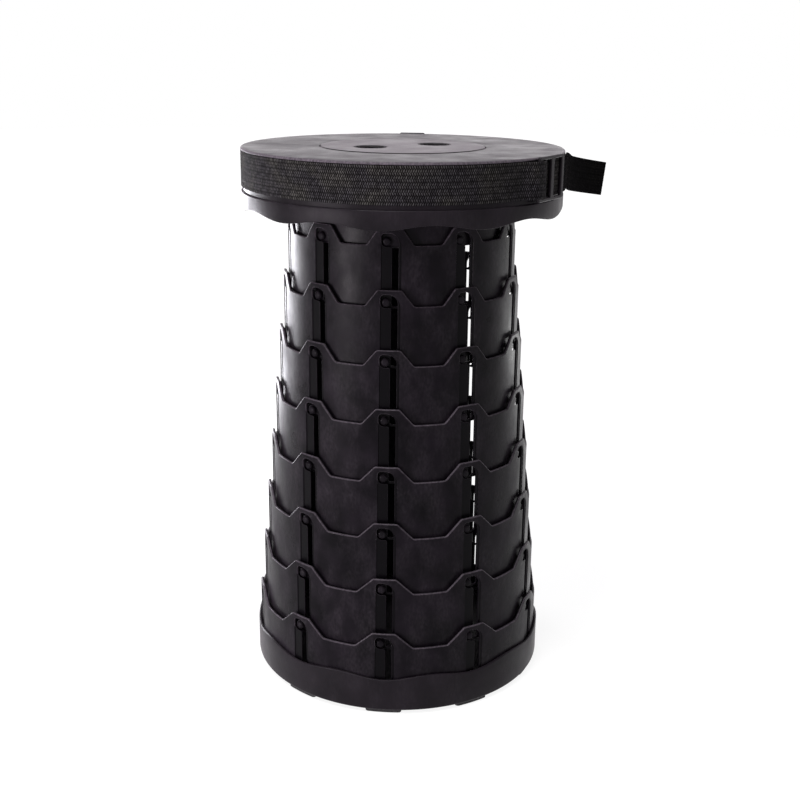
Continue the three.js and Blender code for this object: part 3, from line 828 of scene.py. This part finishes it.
def webbingStrap():
    # A flat section with rounded edges carried along the route. Each row is crowned, and its ribs stand
    # |sin(pi * (along / ribPitch + lean))| ** 1.3 high, leaning left and right in turn
    s = strap
    count = int(round(strapRoute(s["roughCount"])[0][-1] / s["step"]))
    at, middle, down, outward = strapRoute(count)
    half = s["thickness"] / 2
    small = s["edgeRound"]
    across = np.arange(1, s["ridges"]) * s["width"] / s["ridges"]
    across = np.concatenate([[small], across, [s["width"] - small]])
    back = across[::-4]
    edge = np.radians([60, 0, -60])
    section = np.concatenate([
        np.stack([across, np.full(len(across), half)], 1),
        np.stack([s["width"] - small + small * np.cos(edge), half * np.sin(edge)], 1),
        np.stack([back, np.full(len(back), -half)], 1),
        np.stack([small - small * np.cos(edge), -half * np.sin(edge)], 1),
    ])
    width, height = section[:, 0], section[:, 1]
    row, inRow = np.floor(width / s["rowPitch"]), (width / s["rowPitch"]) % 1
    lean = (inRow - 0.5) * (row % 2 * 2 - 1) * s["lean"] + row * 0.5
    rib = np.abs(np.sin(np.pi * (at[:, None] / s["ribPitch"] + lean))) ** 1.3
    crown = (4 * inRow * (1 - inRow)) ** 0.45
    face = np.abs(height) > half * 0.95
    lift = (s["ribDepth"] * (rib - 1) * crown - s["rowDepth"] * (1 - crown)) * face
    height = height + np.sign(section[:, 1]) * lift
    points = (middle[:, None] + down[:, None] * width[None, :, None] + outward[:, None] * height[..., None])
    rows, columns = count, len(section)
    faces = gridFaces(rows, columns, True).tolist()
    faces += [list(range(columns))[::-1], [(rows - 1) * columns + c for c in range(columns)]]
    piece = solidPiece("strap_webbing", points.reshape(-1, 3), faces, strapCloth, "seat",
                       ["strap_band", "strap_tail"], weld=0)
    corner = np.zeros(len(piece.data.loops), int)
    piece.data.loops.foreach_get("vertex_index", corner)
    u, v = np.repeat(at, columns), np.tile(width, rows)
    # The tail is marked for painted shade
    tail = (u > at[-1] - s["tailFree"] - s["tailHug"]).astype(np.float32)
    piece.data.attributes.new("shadedTail", "FLOAT", "POINT").data.foreach_set("value", tail)
    layer = piece.data.uv_layers.new(name="strapMap")
    layer.data.foreach_set("uv", np.stack([u[corner], v[corner]], 1).astype(np.float32).ravel())
    print("strap length in mm", round(float(at[-1]), 1))


print("strap")
strapFrame("strap_buckle", buckle, math.radians(strap["buckleAngle"]))
strapFrame("strap_slide", slide, math.radians(strap["slideAngle"]))
webbingStrap()


studio = {"world": 0.3, "roomTint": (1, 0.95, 0.99), "floorRadius": 6.0, "floorSides": 96, "floorNear": 0.4,
          "floorEdge": 2.5, "floorLit": 0.22, "floorWhite": 0.88, "floorFar": 1.0, "floorColour": 0.7}
lamps = {
    "left": {"power": 7.8, "width": 0.42, "height": 0.4, "angle": -130, "distance": 0.75, "up": 0.21, "aim": 0.21,
             "colour": (0.95, 0.94, 1)},
    "frontLeft": {"power": 13, "width": 0.4, "height": 0.42, "angle": -47, "distance": 1.5, "up": 0.22, "aim": 0.24,
                  "colour": (1, 0.93, 0.98)},
    "right": {"power": 0.8, "width": 0.4, "height": 0.14, "angle": 132, "distance": 0.8, "up": 0.08, "aim": 0.05},
    "back": {"power": 6, "width": 2.4, "height": 0.9, "angle": 180, "distance": 2.6, "up": 1.05, "aim": 0.4},
    "above": {"power": 19, "width": 0.35, "height": 0.35, "angle": -25, "distance": 0.6, "up": 1.8, "aim": 0.2},
}
photoView = {"distance": 0.9351, "side": 5.23, "height": 0.508, "pitch": 17.08, "roll": 0.62, "lens": 53.35,
             "sensor": 36}


def seenOrMirrored(nodes, links):
    # 1 for camera, glossy and transmission rays, 0 for the light that falls on the object
    path = nodes.new("ShaderNodeLightPath")
    value = path.outputs["Is Camera Ray"]
    for name in ("Is Glossy Ray", "Is Transmission Ray"):
        most = nodes.new("ShaderNodeMath")
        most.operation = "MAXIMUM"
        links.new(value, most.inputs[0])
        links.new(path.outputs[name], most.inputs[1])
        value = most.outputs[0]
    return value


def whiteRoom():
    # The world is white to the eye, faintly tinted in reflections, and lights the object at its own level
    world = bpy.data.worlds.new("whiteRoom")
    world.use_nodes = True
    bpy.context.scene.world = world
    nodes, links = world.node_tree.nodes, world.node_tree.links
    seen = seenOrMirrored(nodes, links)
    links.new(remap(nodes, links, seen, 0, 1, studio["world"], 1), nodes["Background"].inputs["Strength"])
    camera = nodes.new("ShaderNodeLightPath").outputs["Is Camera Ray"]
    links.new(mixColours(nodes, links, camera, studio["roomTint"], (1, 1, 1)), nodes["Background"].inputs["Color"])


def paleFloor():
    # A wide disc, white to the eye, a little darker where the object shades it
    mesh = bpy.data.meshes.new("floor")
    sides = studio["floorSides"]
    angle = np.linspace(0, turn, sides, endpoint=False)
    mesh.from_pydata(polar(studio["floorRadius"], angle, 0 * angle).tolist(), [], [list(range(sides))])
    floor = bpy.data.objects.new("floor", mesh)
    bpy.context.scene.collection.objects.link(floor)
    material, nodes, links, shader = newMaterial("paleFloor")
    shader.inputs["Roughness"].default_value = 1
    shader.inputs["Specular IOR Level"].default_value = 0
    shader.inputs["Emission Color"].default_value = (1, 1, 1, 1)
    seen = seenOrMirrored(nodes, links)
    reach = nodes.new("ShaderNodeVectorMath")
    reach.operation = "LENGTH"
    links.new(nodes.new("ShaderNodeTexCoord").outputs["Object"], reach.inputs[0])
    white = remap(nodes, links, reach.outputs["Value"], studio["floorNear"], studio["floorEdge"],
                  studio["floorWhite"], studio["floorFar"])
    links.new(product(nodes, links, seen, white, 1), shader.inputs["Emission Strength"])
    links.new(mixColours(nodes, links, seen, (studio["floorColour"],) * 3, (studio["floorLit"],) * 3),
              shader.inputs["Base Color"])
    mesh.materials.append(material)


def softbox(name, power, width, height, angle, distance, up, aim, colour=(1, 1, 1)):
    # A lamp at its own angle round the stool, facing the axis at the height aim
    light = bpy.data.lights.new(name, "AREA")
    light.shape = "RECTANGLE"
    light.energy, light.size, light.size_y = power, width, height
    light.color = colour
    lamp = bpy.data.objects.new(name, light)
    angle = math.radians(angle)
    place = Vector((distance * math.sin(angle), -distance * math.cos(angle), up))
    facing = (Vector((0, 0, aim)) - place).to_track_quat("-Z", "Y")
    lamp.matrix_world = Matrix.Translation(place) @ facing.to_matrix().to_4x4()
    lamp.visible_camera = False
    bpy.context.scene.collection.objects.link(lamp)


def photoCamera():
    # The camera stands at the photograph's place, pitched down, and rolls a little
    v = photoView
    lens = bpy.data.cameras.new("photoCamera")
    lens.lens, lens.sensor_width = v["lens"], v["sensor"]
    camera = bpy.data.objects.new("photoCamera", lens)
    side = math.radians(v["side"])
    place = (v["distance"] * math.sin(side), -v["distance"] * math.cos(side), v["height"])
    camera.matrix_world = (Matrix.Translation(place) @ Matrix.Rotation(side, 4, "Z")
                           @ Matrix.Rotation(math.radians(90 - v["pitch"]), 4, "X")
                           @ Matrix.Rotation(math.radians(v["roll"]), 4, "Z"))
    bpy.context.scene.collection.objects.link(camera)
    bpy.context.scene.camera = camera


print("stage, lights and camera")
whiteRoom()
paleFloor()
for lampName, lampSettings in lamps.items():
    softbox(lampName, **lampSettings)
photoCamera()
bpy.context.scene.view_settings.view_transform = "Standard"
